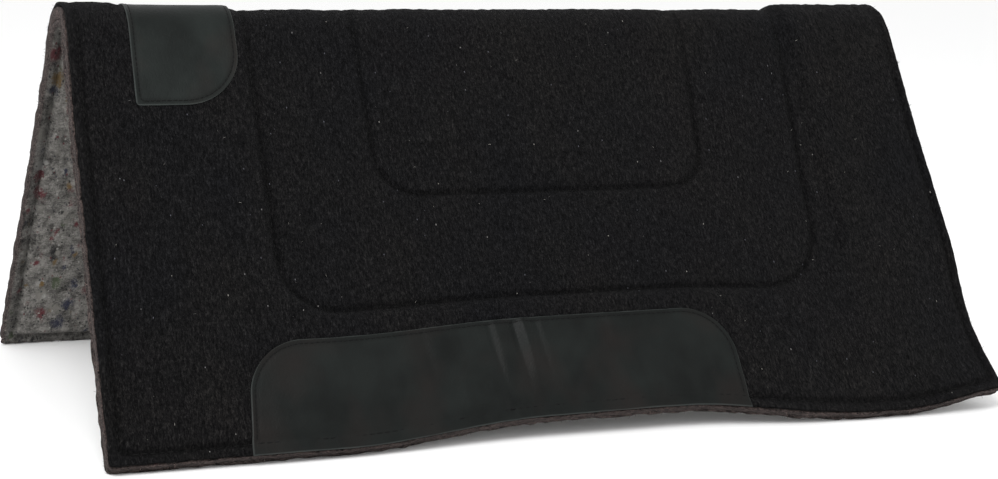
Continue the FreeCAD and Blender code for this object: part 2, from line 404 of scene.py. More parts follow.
def inside_box(along, across, front, rear, low, high, radius):
    """Depth inside a box with round corners, in metres, and negative outside it."""
    middle, centre = (front + rear) / 2, (low + high) / 2
    u = np.abs(along - middle) - ((rear - front) / 2 - radius)
    v = np.abs(across - centre) - ((high - low) / 2 - radius)
    outside = np.hypot(np.maximum(u, 0), np.maximum(v, 0))
    return radius - outside - np.minimum(np.maximum(u, v), 0)


def under_leather(along, across):
    """Depth inside the nearest leather's outline."""
    wear_top = half_width - wear_height
    upright = along - front_lean(along, across)
    wear = inside_box(upright, np.abs(across), wear_front, wear_rear, wear_top, 2 * half_width, wear_radius)
    radius = np.where(along > (patch_front + patch_rear) / 2, patch_rear_radius, patch_front_radius)
    patch = inside_box(along, across, patch_front, patch_rear, -patch_drop, patch_drop, radius)
    return np.maximum(wear, patch)


# %% Outer and inner faces
pad_thickness = 18.1 * MM
seam_pull = 2.3 * MM
valley_depth = 2.5 * MM
valley_width = 2.4 * MM
margin_rise = 2.6 * MM
rear_rise = 2.2 * MM
front_rise = 3.0 * MM
crown_easing = 0.75
lump_height = 0.42 * MM
slow_lumps = (34 * MM, 46 * MM)
leather_bed = 0.7 * MM
quilt_lines = [edge_line, outer_line, inner_line]


def near_crown(across):
    """1 on the crown and 0 well down the flaps. The seams pull less where the felt is bent."""
    return 1 - ease(30 * MM, 150 * MM, np.abs(across))


def broad_face(along, across, puff):
    """The face without its lumps: puffed between the seams and higher outside the quilting."""
    seat_area = inside_box(
        along, across, outer_front, outer_rear, -outer_drop, outer_drop, outer_rear_radius)
    crown = near_crown(across)
    raised = rear_rise * (along > 0) + front_rise * ease(318 * MM, 350 * MM, -along)
    raised = margin_rise + crown * raised
    pull = seam_pull * (1 - crown_easing * crown) * (1 - read_grid(puff, along, across))
    return raised * ease(0, 14 * MM, -seat_area) - pull


def outer_face(along, across):
    gap = distance_to(quilt_lines, along, across)
    bed = ease(-1.5 * MM, 2 * MM, under_leather(along, across))
    level = broad_face(along, across, puffs[0])
    valley = valley_depth * np.exp(-((gap / valley_width) ** 2)) * (1 - crown_easing * near_crown(across))
    level = level - valley * (1 - 0.6 * bed)
    rough = lumps(along, across, (5 * MM, 8 * MM), 3) + 0.7 * lumps(along, across, (2.9 * MM, 4.4 * MM), 4)
    slow = lumps(along, across, slow_lumps, 5)
    return level + lump_height * (rough * (1 - bed) + 0.9 * slow) - leather_bed * bed


def inner_face(along, across):
    gap = distance_to(quilt_lines, along, across)
    pull = seam_pull * (1 - read_grid(puffs[1], along, across))
    pull = pull + valley_depth * np.exp(-((gap / valley_width) ** 2))
    rough = lumps(along, across, (6 * MM, 6 * MM), 6) + 0.6 * lumps(along, across, (3 * MM, 3 * MM), 7)
    return pull - pad_thickness + lump_height * rough


def between(share, share_at_rim):
    """A surface inside the stack, at a share of its thickness below the outer face."""
    def surface(along, across):
        outside, inside = broad_face(along, across, puffs[0]), -pad_thickness
        rim_gap = np.minimum(half_length - np.abs(along), half_width - np.abs(across))
        depth = share + (share_at_rim - share) * np.exp(-np.maximum(rim_gap, 0) / (4 * MM))
        gap = distance_to([edge_line], along, across)
        pinch = valley_depth * np.exp(-((gap / (2 * valley_width)) ** 2)) * (1 - 2 * depth)
        return outside + depth * (inside - outside) - pinch
    return surface


# %% [markdown]
# # Sheets with a thickness
#
# The felts and the leathers are all made in the same way. A bmesh grid is laid flat, its face region
# is extruded to a second face, and the short edges between the two are cut into rows, which
# round off and roughen into a cut edge. Grid lines crowd together near the outline, so that
# the rim can curl over. The grid's square corners are drawn in to round ones. The flat place
# of each vertex is kept in an attribute, and the felt and leather patterns are read from it,
# so that they follow the sheet when it folds.

# %% Stations across a sheet
rim_stations = (0.0, 0.5 * MM, 1.1 * MM, 1.9 * MM, 3.0 * MM)


def stations(start, end, spacing):
    """Places from start to end, crowded together near both ends."""
    near = np.array(rim_stations)
    first, last = start + rim_stations[-1], end - rim_stations[-1]
    middle = np.linspace(first, last, round((last - first) / spacing) + 1)[1:-1]
    return np.concatenate([start + near, middle, (end - near)[::-1]])


def draw_in_corner(along, across, corner, inward, radius):
    """Moves the places near one square corner so that the outline there is a round arc."""
    centre = np.array(corner) + np.array(inward) * radius
    u = -(along - centre[0]) * inward[0] / radius
    v = -(across - centre[1]) * inward[1] / radius
    near = (u > 0) & (v > 0)
    round_u = u * np.sqrt(np.clip(1 - v * v / 2, 0, 1))
    round_v = v * np.sqrt(np.clip(1 - u * u / 2, 0, 1))
    along = np.where(near, centre[0] - round_u * radius * inward[0], along)
    across = np.where(near, centre[1] - round_v * radius * inward[1], across)
    return along, across


# %% Build a sheet
def sheet_piece(name, span, spacing, radii, outer, inner, rim, seams, lean=None):
    """A closed sheet over span (front, rear, low, high), between two height functions. radii
    are those of its corners, rim says how its cut edge is rounded and roughened, seams are the
    lines whose distance its material reads, and lean moves its places along the spine."""
    front, rear, low, high = span
    along_at, across_at = stations(front, rear, spacing), stations(low, high, spacing)
    sheet = bmesh.new()
    bmesh.ops.create_grid(
        sheet, x_segments=len(along_at) - 1, y_segments=len(across_at) - 1, size=0.5)
    pulled = bmesh.ops.extrude_face_region(sheet, geom=sheet.faces[:], use_keep_orig=True)
    top = [item for item in pulled["geom"] if isinstance(item, bmesh.types.BMVert)]
    bmesh.ops.translate(sheet, verts=top, vec=(0, 0, 1))
    walls = [edge for edge in sheet.edges if abs(edge.verts[0].co.z - edge.verts[1].co.z) > 0.5]
    bmesh.ops.subdivide_edges(sheet, edges=walls, cuts=rim["rows"], use_grid_fill=True)
    bmesh.ops.recalc_face_normals(sheet, faces=sheet.faces)
    mesh = finished_mesh(sheet, name)

    unit = np.array([vertex.co for vertex in mesh.vertices])
    share = unit[:, 2]
    column = np.rint((unit[:, 0] + 0.5) * (len(along_at) - 1)).astype(int)
    row = np.rint((unit[:, 1] + 0.5) * (len(across_at) - 1)).astype(int)
    along, across = along_at[column], across_at[row]
    edge_gap = np.minimum.reduce([along - front, rear - along, across - low, high - across])
    ends = ((front, low), (rear, low), (rear, high), (front, high))
    turns = ((1, 1), (-1, 1), (-1, -1), (1, -1))
    for corner, inward, radius in zip(ends, turns, radii):
        if radius:
            along, across = draw_in_corner(along, across, corner, inward, radius)
    if lean:
        along = along + lean(along, across)
    outside, inside = outer(along, across), inner(along, across)
    curl = np.clip(1 - edge_gap / rim["round"], 0, 1)
    drop = rim["round"] * (1 - np.sqrt(1 - curl * curl)) * rim["share"]
    height = inside + (outside - inside) * share
    height = height - np.where(share > 0.5, 1, -1) * drop * np.abs(2 * share - 1)
    on_wall = edge_gap < 1e-6
    push = rim["bulge"] * np.sin(math.pi * share) + rim["rough"] * lumps(
        along + share * 4 * MM, across - share * 4 * MM, (6 * MM, 6 * MM), rim["seed"])
    push = np.where(on_wall, push - rim["inset"], 0) - np.where(on_wall, 0, rim["inset"] * curl)
    middle_along, middle_across = (front + rear) / 2, (low + high) / 2
    reach_along, reach_across = (rear - front) / 2, (high - low) / 2
    along = along + push * ((along - middle_along) / reach_along) ** 9
    across = across + push * ((across - middle_across) / reach_across) ** 9

    points = fold(along, across, height)
    mesh.vertices.foreach_set("co", points.astype(np.float32).ravel())
    flat_place = mesh.attributes.new("flat_place", "FLOAT_VECTOR", "POINT")
    flat_place.data.foreach_set("vector", np.stack([along, across, height], 1).astype(np.float32).ravel())
    seam_gap = distance_to(seams, along, across)
    for gap_name, gap in (("rim_gap", edge_gap), ("seam_gap", seam_gap)):
        attribute = mesh.attributes.new(gap_name, "FLOAT", "POINT")
        attribute.data.foreach_set("value", gap.astype(np.float32))
    mesh.polygons.foreach_set("use_smooth", np.ones(len(mesh.polygons), bool))
    mesh.update()
    print(f"{name}: {len(mesh.polygons)} faces")
    return show(name, mesh)


# %% [markdown]
# # Felt
#
# Felt has no weave. It is a mat of short fibres, so its colour comes from many thin streaks,
# and its surface from clots and loose ends. The material reads the flat place of each point,
# stretched so that the streaks run down the flap. Black felt is mixed from dark and charcoal
# wool with a few pale hairs. The underside is felted from sorted waste, and keeps flecks of
# coloured yarn: cells of a Voronoi pattern, bent by noise, of which only some are coloured.

# %% Node helpers
def new_material(name):
    material = bpy.data.materials.new(name)
    material.use_nodes = True
    tree = material.node_tree
    shader = next(node for node in tree.nodes if node.type == "BSDF_PRINCIPLED")
    return material, tree, shader


def node(tree, kind, inputs=(), **settings):
    """A node with its settings and inputs given, each input a value or another node's socket."""
    made = tree.nodes.new(kind)
    for name, value in settings.items():
        setattr(made, name, value)
    for key, value in dict(inputs).items():
        if isinstance(value, bpy.types.NodeSocket):
            tree.links.new(value, made.inputs[key])
        else:
            made.inputs[key].default_value = value
    return made


def flat_places(tree, per_metre, turn=0.0):
    """The flat place of each point, scaled to so many pattern units per metre."""
    place = node(tree, "ShaderNodeAttribute", attribute_name="flat_place")
    mapping = node(tree, "ShaderNodeMapping", {"Vector": place.outputs["Vector"], "Scale": per_metre})
    mapping.inputs["Rotation"].default_value = (0, 0, turn)
    return mapping.outputs["Vector"]


def noise_level(tree, vector, scale=1.0, detail=3.0, roughness=0.6, distortion=0.0):
    made = node(tree, "ShaderNodeTexNoise", {
        "Vector": vector, "Scale": scale, "Detail": detail, "Roughness": roughness,
        "Distortion": distortion})
    return made.outputs["Fac"]


def ramp(tree, level, stops, interpolation="LINEAR"):
    """A colour ramp through stops of (position, colour)."""
    made = node(tree, "ShaderNodeValToRGB", {"Fac": level})
    elements = made.color_ramp.elements
    made.color_ramp.interpolation = interpolation
    while len(elements) < len(stops):
        elements.new(1.0)
    for element, (position, colour) in zip(elements, stops):
        element.position = position
        element.color = (*colour, 1.0)
    return made.outputs["Color"]


def mix_colour(tree, share, first, second, blend_type="MIX"):
    made = node(tree, "ShaderNodeMix", data_type="RGBA", blend_type=blend_type)
    for key, value in ((0, share), (6, first), (7, second)):
        if isinstance(value, bpy.types.NodeSocket):
            tree.links.new(value, made.inputs[key])
        else:
            made.inputs[key].default_value = value if key == 0 else (*value, 1.0)
    return made.outputs[2]


def calculate(tree, operation, *values):
    made = node(tree, "ShaderNodeMath", dict(enumerate(values)), operation=operation)
    return made.outputs[0]


def bump(tree, shader, height, distance, strength=1.0):
    made = node(tree, "ShaderNodeBump", {"Height": height, "Distance": distance, "Strength": strength})
    tree.links.new(made.outputs["Normal"], shader.inputs["Normal"])


def grey(level):
    return (level, level, level)


# %% Black felt
def painted_seam_shade_and_press(tree, reach_out, darkest):
    """A darkening factor for the seam valleys, darkest at a seam and 1 beyond reach_out: painted shade for
    the valley, with some real darkening where the stitching presses the fibres.
    """
    gap = node(tree, "ShaderNodeAttribute", attribute_name="seam_gap")
    share = calculate(tree, "DIVIDE", gap.outputs["Fac"], reach_out)
    return ramp(tree, share, [(0.0, grey(darkest)), (0.3, grey(0.45 + 0.55 * darkest)), (1.0, grey(1.0))])


def black_felt():
    material, tree, shader = new_material("black_felt")
    streaks = noise_level(
        tree, flat_places(tree, (760, 190, 550)), detail=4.0, roughness=0.65, distortion=0.5)
    hatch = noise_level(tree, flat_places(tree, (1400, 560, 900), turn=0.12), detail=3.0)
    clots = noise_level(tree, flat_places(tree, (420, 240, 360)), detail=5.0, roughness=0.75)
    patches = noise_level(tree, flat_places(tree, (9, 7, 9)), detail=2.0)
    wool = calculate(tree, "MULTIPLY_ADD", streaks, 0.55, calculate(tree, "MULTIPLY", hatch, 0.45))
    wool = calculate(tree, "MULTIPLY_ADD", clots, 0.3, calculate(tree, "MULTIPLY", wool, 0.7))
    colour = ramp(tree, wool, [(0.40, (0.0005, 0.0005, 0.0006)), (0.47, (0.0026, 0.0026, 0.0028)),
                               (0.54, (0.0068, 0.0067, 0.0068)), (0.64, (0.021, 0.0205, 0.020))])
    tone = ramp(tree, patches, [(0.3, (0.80, 0.82, 0.92)), (0.7, (1.18, 1.12, 1.08))])
    colour = mix_colour(tree, 1.0, colour, tone, "MULTIPLY")
    # Painted shade, with some real pressing: the black felt is darkened towards each seam line, for the shade
    # in the seam valley and the pressed fibres there.
    colour = mix_colour(tree, 1.0, colour, painted_seam_shade_and_press(tree, 4.5 * MM, 0.3), "MULTIPLY")
    hairs = node(tree, "ShaderNodeTexVoronoi", {
        "Vector": flat_places(tree, (330, 170, 300), turn=0.3), "Scale": 1.0, "Randomness": 1.0})
    thin = calculate(tree, "LESS_THAN", hairs.outputs["Distance"], 0.14)
    picked = node(tree, "ShaderNodeSeparateColor", {"Color": hairs.outputs["Color"]})
    rare = calculate(tree, "GREATER_THAN", picked.outputs["Red"], 0.965)
    speck = calculate(tree, "MULTIPLY", thin, rare)
    pale = ramp(tree, picked.outputs["Green"], [(0.0, (0.2, 0.19, 0.17)), (0.5, (0.06, 0.06, 0.07))])
    colour = mix_colour(tree, speck, colour, pale)
    tree.links.new(colour, shader.inputs["Base Color"])
    shader.inputs["Roughness"].default_value = 0.95
    shader.inputs["Specular IOR Level"].default_value = 0.045
    shader.inputs["Sheen Weight"].default_value = 0.015
    shader.inputs["Sheen Roughness"].default_value = 0.5
    shader.inputs["Sheen Tint"].default_value = (0.8, 0.8, 0.82, 1.0)
    bump(tree, shader, calculate(tree, "MULTIPLY_ADD", clots, 1.2, streaks), 1.5 * MM)
    return material


# %% Felted waste, for the core and the underside
yarns = [
    (0.0, (0.020, 0.024, 0.050)), (0.17, (0.21, 0.20, 0.18)), (0.3, (0.105, 0.020, 0.026)),
    (0.48, (0.16, 0.10, 0.034)), (0.62, (0.060, 0.078, 0.044)), (0.76, (0.016, 0.016, 0.017)),
    (0.9, (0.30, 0.295, 0.28))]
clippings = [(0.0, (0.014, 0.014, 0.015)), (0.5, (0.035, 0.036, 0.045)), (0.68, (0.34, 0.33, 0.31)),
             (0.86, (0.10, 0.024, 0.03))]


def flecks(tree, colour, bend, fine, per_metre, turn, share, softness, palette):
    """Soft ragged flecks over a colour: of the cells of a bent pattern, only a share is dyed."""
    bent = node(tree, "ShaderNodeVectorMath", {
        0: bend, 1: flat_places(tree, per_metre, turn)}, operation="ADD")
    cells = node(tree, "ShaderNodeTexVoronoi", {"Vector": bent.outputs[0], "Scale": 1.0, "Randomness": 1.0})
    picked = node(tree, "ShaderNodeSeparateColor", {"Color": cells.outputs["Color"]})
    chosen = calculate(tree, "GREATER_THAN", picked.outputs["Red"], 1 - share)
    ragged = calculate(tree, "MULTIPLY_ADD", fine, 1.1, cells.outputs["Distance"])
    near = ramp(tree, ragged, [(0.74, grey(0.9)), (0.74 + softness, grey(0.0))])
    yarn = ramp(tree, picked.outputs["Green"], palette, "CONSTANT")
    return mix_colour(tree, calculate(tree, "MULTIPLY", chosen, near), colour, yarn)


def waste_felt(name, dark, light, cut_dark, cut_light, fleck_share):
    """Grey felt with flecks, and its browner cut edge and shaded rim."""
    material, tree, shader = new_material(name)
    fine = noise_level(tree, flat_places(tree, (900, 430, 700)), detail=5.0, roughness=0.7, distortion=1.2)
    cross = noise_level(tree, flat_places(tree, (260, 560, 500), turn=0.9), detail=4.0, distortion=0.8)
    clots = noise_level(tree, flat_places(tree, (105, 70, 130)), detail=5.0, roughness=0.7)
    wool = calculate(tree, "MULTIPLY_ADD", fine, 0.6, calculate(tree, "MULTIPLY", cross, 0.4))
    mat = calculate(tree, "MULTIPLY_ADD", clots, 0.45, calculate(tree, "MULTIPLY", wool, 0.55))
    middle, cut_middle = (tuple(0.4 * a + 0.6 * b for a, b in zip(*pair))
                          for pair in ((light, dark), (cut_light, cut_dark)))
    colour = ramp(tree, mat, [(0.40, dark), (0.49, middle), (0.59, light)])
    bend = node(tree, "ShaderNodeTexNoise", {
        "Vector": flat_places(tree, (120, 80, 120)), "Scale": 1.0, "Detail": 4.0}).outputs["Color"]
    colour = flecks(tree, colour, bend, fine, (74, 46, 70), 0.2, 2.3 * fleck_share, 0.36, yarns)
    colour = flecks(tree, colour, bend, fine, (160, 95, 150), 1.1, 1.3 * fleck_share, 0.3, yarns)
    colour = flecks(tree, colour, bend, fine, (380, 260, 320), 0.6, 1.4 * fleck_share, 0.24, clippings)
    rim = node(tree, "ShaderNodeAttribute", attribute_name="rim_gap")
    ragged_rim = calculate(tree, "MULTIPLY_ADD", clots, 4 * MM, rim.outputs["Fac"])
    strands = noise_level(
        tree, flat_places(tree, (420, 420, 1500)), detail=4.0, roughness=0.7, distortion=0.8)
    cut_mat = calculate(tree, "MULTIPLY_ADD", strands, 0.6, calculate(tree, "MULTIPLY", mat, 0.4))
    cut_wool = ramp(tree, cut_mat, [(0.43, cut_dark), (0.5, cut_middle), (0.57, cut_light)])
    cut = ramp(tree, calculate(tree, "DIVIDE", ragged_rim, 10 * MM), [(0.26, grey(1.0)), (0.46, grey(0.0))])
    colour = mix_colour(tree, cut, colour, cut_wool)
    # Painted shade: the band within about a centimetre of the cut edge is darkened, for the shade on the
    # margin that turns away from the light.
    shade = ramp(tree, calculate(tree, "DIVIDE", ragged_rim, 20 * MM), [(0.5, grey(0.62)), (0.66, grey(1.0))])
    colour = mix_colour(tree, 1.0, colour, shade, "MULTIPLY")
    # Painted shade, with some real pressing: the grey felt is darkened towards each seam line, for the shade
    # in the seam valley and the pressed fibres there.
    colour = mix_colour(tree, 1.0, colour, painted_seam_shade_and_press(tree, 5 * MM, 0.4), "MULTIPLY")
    tree.links.new(colour, shader.inputs["Base Color"])
    shader.inputs["Roughness"].default_value = 0.92
    shader.inputs["Specular IOR Level"].default_value = 0.12
    shader.inputs["Sheen Weight"].default_value = 0.03
    shader.inputs["Sheen Roughness"].default_value = 0.5
    bump(tree, shader, calculate(tree, "MULTIPLY_ADD", clots, 0.8, wool), 2.2 * MM)
    return material


felt_black = black_felt()
felt_core = waste_felt(
    "core_felt", dark=(0.014, 0.011, 0.01), light=(0.15, 0.115, 0.105),
    cut_dark=(0.004, 0.0032, 0.003), cut_light=(0.145, 0.108, 0.1), fleck_share=0.14)
felt_underside = waste_felt(
    "underside_felt", dark=(0.030, 0.028, 0.026), light=(0.30, 0.288, 0.268),
    cut_dark=(0.005, 0.004, 0.0036), cut_light=(0.16, 0.125, 0.117), fleck_share=0.2)

# %% [markdown]
# # Leather and thread
#
# The leather is black cowhide with a soft, satin finish: a fine pebble of cells with
# creases between them, gloss that varies in slow clouds, and a rim painted a little lighter:
# partly a painted highlight along the rounded edge, partly wear from handling. The patch over
# the withers, rubbed by the saddle, is a shade lighter than the wear leathers. The thread is
# black and waxed.

# %% Black leather
def black_leather(name, tone):
    material, tree, shader = new_material(name)
    pebble = node(tree, "ShaderNodeTexVoronoi", {
        "Vector": flat_places(tree, (620, 560, 600)), "Scale": 1.0}, feature="SMOOTH_F1")
    creases = node(tree, "ShaderNodeTexVoronoi", {
        "Vector": flat_places(tree, (210, 150, 200)), "Scale": 1.0}, feature="DISTANCE_TO_EDGE")
    grain = noise_level(tree, flat_places(tree, (900, 900, 900)), detail=2.0)
    clouds = noise_level(tree, flat_places(tree, (26, 20, 26)), detail=3.0)
    browns = noise_level(tree, flat_places(tree, (17, 13, 19), turn=0.7), detail=2.0)
    colour = ramp(tree, clouds, [(0.33, (0.0026 * tone, 0.0034 * tone, 0.0031 * tone)),
                                 (0.67, (0.0058 * tone, 0.0074 * tone, 0.0068 * tone))])
    brown = (0.0085 * tone, 0.0064 * tone, 0.0057 * tone)
    colour = mix_colour(tree, ramp(tree, browns, [(0.48, grey(0.0)), (0.68, grey(0.65))]), colour, brown)
    rim = node(tree, "ShaderNodeAttribute", attribute_name="rim_gap")
    worn = calculate(tree, "DIVIDE", rim.outputs["Fac"], 3 * MM)
    # Painted highlight and wear: the leather is lightened close to its cut edge, partly as the highlight
    # along the rounded rim, partly as rubbing from handling.
    painted_rim_highlight_and_wear = ramp(tree, calculate(tree, "MULTIPLY_ADD", clouds, 0.4, worn),
                  [(0.2, (0.024, 0.027, 0.026)), (0.5, grey(0.0))])
    colour = mix_colour(tree, 1.0, colour, painted_rim_highlight_and_wear, "ADD")
    # Painted shade: the leather is darkened along its stitch line, for the shade in the stitch groove.
    colour = mix_colour(tree, 1.0, colour, painted_seam_shade_and_press(tree, 3 * MM, 0.45), "MULTIPLY")
    tree.links.new(colour, shader.inputs["Base Color"])
    gloss = ramp(tree, calculate(tree, "MULTIPLY_ADD", grain, 0.35, clouds),
                 [(0.4, grey(0.40)), (0.9, grey(0.58))])
    tree.links.new(gloss, shader.inputs["Roughness"])
    shader.inputs["Specular IOR Level"].default_value = 0.1
    height = calculate(tree, "MULTIPLY_ADD", pebble.outputs["Distance"], -0.7, calculate(
        tree, "MULTIPLY", calculate(tree, "MINIMUM", creases.outputs["Distance"], 0.12), 2.0))
    bump(tree, shader, calculate(tree, "MULTIPLY_ADD", grain, 0.4, height), 0.16 * MM)
    return material


# %% Waxed thread
def waxed_thread():
    material, tree, shader = new_material("waxed_thread")
    coordinates = node(tree, "ShaderNodeTexCoord")
    twist = node(tree, "ShaderNodeTexNoise", {
        "Vector": coordinates.outputs["Object"], "Scale": 1400.0, "Detail": 2.0})
    colour = ramp(tree, twist.outputs["Fac"], [(0.3, grey(0.002)), (0.7, grey(0.008))])
    tree.links.new(colour, shader.inputs["Base Color"])
    shader.inputs["Roughness"].default_value = 0.7
    shader.inputs["Specular IOR Level"].default_value = 0.08
    bump(tree, shader, twist.outputs["Fac"], 0.2 * MM)
    return material


wear_leather_finish = black_leather("wear_leather", 1.0)
wither_leather_finish = black_leather("wither_leather", 1.6)
thread = waxed_thread()

# %% [markdown]
# # The three felts
#
# Face, core and underside share the puffed shape of the quilt. Their cut edges don't line up
# exactly: each is trimmed a little short of the last, rounded where the blade dragged, and
# ragged with fibre ends. The fold lays them together over the spine, each as one piece.


def bend_over_spine(piece):
    """Bakes the piece's transform into its mesh; the fold has already laid it over the spine."""
    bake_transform(piece)


def felt_sheet(name, spacing, outer, inner, rim, material):
    span = (-half_length, half_length, -half_width, half_width)
    corner_radii = (5 * MM,) * 4
    piece = sheet_piece(name, span, spacing, corner_radii, outer, inner, rim, quilt_lines)
    piece.data.materials.append(material)
    bend_over_spine(piece)
    return piece


bond = 0.05 * MM
face_share, face_share_at_rim = 0.22, 0.15
core_share, core_share_at_rim = 0.66, 0.6
under_face = between(face_share, face_share_at_rim)
under_core = between(core_share, core_share_at_rim)
face_rim = dict(rows=3, round=1.9 * MM, share=0.75, bulge=0.4 * MM, rough=0.7 * MM, inset=1.6 * MM, seed=11)
core_rim = dict(rows=4, round=1.1 * MM, share=0.5, bulge=0.5 * MM, rough=1.0 * MM, inset=0.4 * MM, seed=12)
underside_rim = dict(
    rows=4, round=1.9 * MM, share=0.8, bulge=0.9 * MM, rough=0.9 * MM, inset=0.2 * MM, seed=13)
face_felt = felt_sheet("face_felt", 2.2 * MM, outer_face, under_face, face_rim, felt_black)
core_felt = felt_sheet(
    "core_felt", 6 * MM, lambda a, b: under_face(a, b) - bond, under_core, core_rim, felt_core)
underside_felt = felt_sheet(
    "underside_felt", 3.2 * MM, lambda a, b: under_core(a, b) - bond, inner_face, underside_rim,
    felt_underside)
for piece, kind in ((face_felt, "face_felt"), (core_felt, "core_felt"), (underside_felt, "underside_felt")):
    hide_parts("left_" + kind, "right_" + kind)

# %% [markdown]
# # The leathers
#
# The leather lies on the pressed bed in the face felt, follows its slow puffs, and dips where
# it is stitched. The wear leather has buckled in one place, where the flap has been bent, so
# a few soft upright creases run down it from the top. Its lower edge goes under the edge
# seam, which ties it to the whole stack.

# %% Faces of the leathers
leather_thickness = 1.9 * MM
stitch_pull = 0.4 * MM
edge_tie = 1.3 * MM
seat_sink = 0.55 * MM
lump_print = 0.9
crease_lean = 0.1
crease_places = (
    (-41 * MM, 3.2 * MM, 2.1 * MM), (-50 * MM, 3.0 * MM, -1.9 * MM), (-31 * MM, 3.6 * MM, -1.5 * MM),
    (-63 * MM, 5.0 * MM, 0.8 * MM), (-71 * MM, 3.0 * MM, -1.8 * MM), (-128 * MM, 5.0 * MM, -0.8 * MM),
    (26 * MM, 5.0 * MM, -0.8 * MM), (38 * MM, 7.0 * MM, 0.5 * MM))


def leather_seat(along, across):
    """Where the back of the leather lies: on the felt's broad shape, over its edge seam."""
    gap = distance_to([edge_line], along, across)
    tied = edge_tie * np.exp(-((gap / (2.2 * valley_width)) ** 2))
    slow = lumps(along, across, slow_lumps, 5)
    return broad_face(along, across, puffs[0]) - tied + lump_print * lump_height * slow - seat_sink


def leather_face(stitch_line, creased):
    def surface(along, across):
        gap = distance_to([stitch_line], along, across)
        level = leather_seat(along, across) + leather_thickness
        level = level - stitch_pull * np.exp(-((gap / (1.9 * MM)) ** 2))
        level = level + 0.22 * MM * lumps(along, across, (21 * MM, 30 * MM), 8)
        if creased:
            top = half_width - wear_height
            below = np.abs(across) - top
            fade = ease(-5 * MM, 5 * MM, below) * (1 - 0.75 * ease(18 * MM, 66 * MM, below))
            lean = crease_lean * below
            for place, width, height in crease_places:
                level = level + height * fade * np.exp(-(((along - place - lean) / width) ** 2))
            ripple = lumps(along, across, (9 * MM, 55 * MM), 9)
            level = level + 0.35 * MM * ripple * ease(25 * MM, 60 * MM, below)
        return level
    return surface


leather_rim = dict(rows=2, round=0.9 * MM, share=0.9, bulge=0.15 * MM, rough=0.12 * MM, inset=0.0, seed=14)


# %% Sew on the wear leathers
for side, flap in ((-1, "left"), (1, "right")):
    foot = half_width - 0.4 * MM
    low, high = sorted((side * (half_width - wear_height), side * foot))
    radii = (0, 0, wear_radius, wear_radius) if side < 0 else (wear_radius, wear_radius, 0, 0)
    piece = sheet_piece(
        flap + "_wear_leather_panel", (wear_front, wear_rear, low, high), 1.9 * MM, radii,
        leather_face(wear_lines[side], True), leather_seat, leather_rim, [wear_lines[side]], front_lean)
    piece.data.materials.append(wear_leather_finish)
    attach(piece, flap + "_side")
    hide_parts(flap + "_wear_leather")

# %% Sew on the wither patch
wither_patch = sheet_piece(
    "wither_patch", (patch_front, patch_rear, -patch_drop, patch_drop), 1.9 * MM,
    (patch_front_radius, patch_rear_radius, patch_rear_radius, patch_front_radius),
    leather_face(patch_line, False), leather_seat, leather_rim, [patch_line])
wither_patch.data.materials.append(wither_leather_finish)
bend_over_spine(wither_patch)
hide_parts("left_wither_patch", "right_wither_patch")

# %% [markdown]
# # Stitches
#
# A lockstitch shows as a row of short bars with a needle hole between each two. One bar is a
# squashed sphere of a few dozen faces, laid along the seam, with its ends sunk in the holes.
# The stitches are added straight to one bmesh per seam, each turned to its place by a matrix.

# %% One stitch
stitch_shape = bmesh.new()
bmesh.ops.create_uvsphere(stitch_shape, u_segments=6, v_segments=5, radius=1.0)
bmesh.ops.rotate(stitch_shape, verts=stitch_shape.verts, matrix=Matrix.Rotation(math.pi / 2, 3, "Y"))
bmesh.ops.recalc_face_normals(stitch_shape, faces=stitch_shape.faces)
one_stitch = finished_mesh(stitch_shape, "one_stitch")
print(f"one stitch has {len(one_stitch.polygons)} faces")


# %% Sew along a line
def sew(name, line, surface, length, gap, radius, sink, inward=False):
    """A row of stitches along a flat line, on the surface of a felt or leather."""
    travelled = np.concatenate([[0], np.cumsum(np.linalg.norm(np.diff(line, axis=0), axis=1))])
    count = round(travelled[-1] / (length + gap))
    pitch = travelled[-1] / count
    starts = pitch * (np.arange(count) + 0.5 * gap / pitch)
    ends = starts + pitch - gap
    places = [np.stack([np.interp(s, travelled, line[:, k]) for k in (0, 1)]) for s in (starts, ends)]
    wander = np.random.default_rng(len(name)).normal(0, 0.12 * MM, (2, count))
    levels = [surface(*place) + (sink if inward else -sink) for place in places]
    heads, tails = (fold(place[0], place[1] + w, level) for place, w, level in zip(places, wander, levels))
    lifted = fold(*places[0], levels[0] + 1 * MM) - heads
    row = bmesh.new()
    for head, tail, up in zip(heads, tails, lifted):
        axis = Vector(tail - head)
        normal = Vector(up).normalized()
        sideways = normal.cross(axis).normalized()
        ahead = axis.normalized()
        turned = Matrix((ahead, sideways, ahead.cross(sideways))).transposed().to_4x4()
        size = Matrix.Diagonal((axis.length / 2 + 0.3 * MM, radius, radius, 1.0))
        bar = one_stitch.copy()
        bar.transform(Matrix.Translation(Vector(head + tail) / 2) @ turned @ size)
        row.from_mesh(bar)
        bpy.data.meshes.remove(bar)
    mesh = finished_mesh(row, name)
    mesh.polygons.foreach_set("use_smooth", np.ones(len(mesh.polygons), bool))
    piece = show(name, mesh)
    piece.data.materials.append(thread)
    print(f"{name}: {count} stitches of {1000 * pitch:.1f} mm")
    return piece


face_stitch = dict(length=5.2 * MM, gap=1.0 * MM, radius=0.6 * MM, sink=0.3 * MM)
back_stitch = dict(face_stitch, sink=0.45 * MM, inward=True)
leather_stitch = dict(length=3.6 * MM, gap=0.9 * MM, radius=0.42 * MM, sink=-0.05 * MM)


def face_or_leather(along, across):
    """The surface that the edge seam's needle thread lies on."""
    covered = under_leather(along, across) > 0
    leather_top = leather_face(edge_line, False)(along, across)
    return np.where(covered, leather_top + 0.3 * MM, outer_face(along, across))


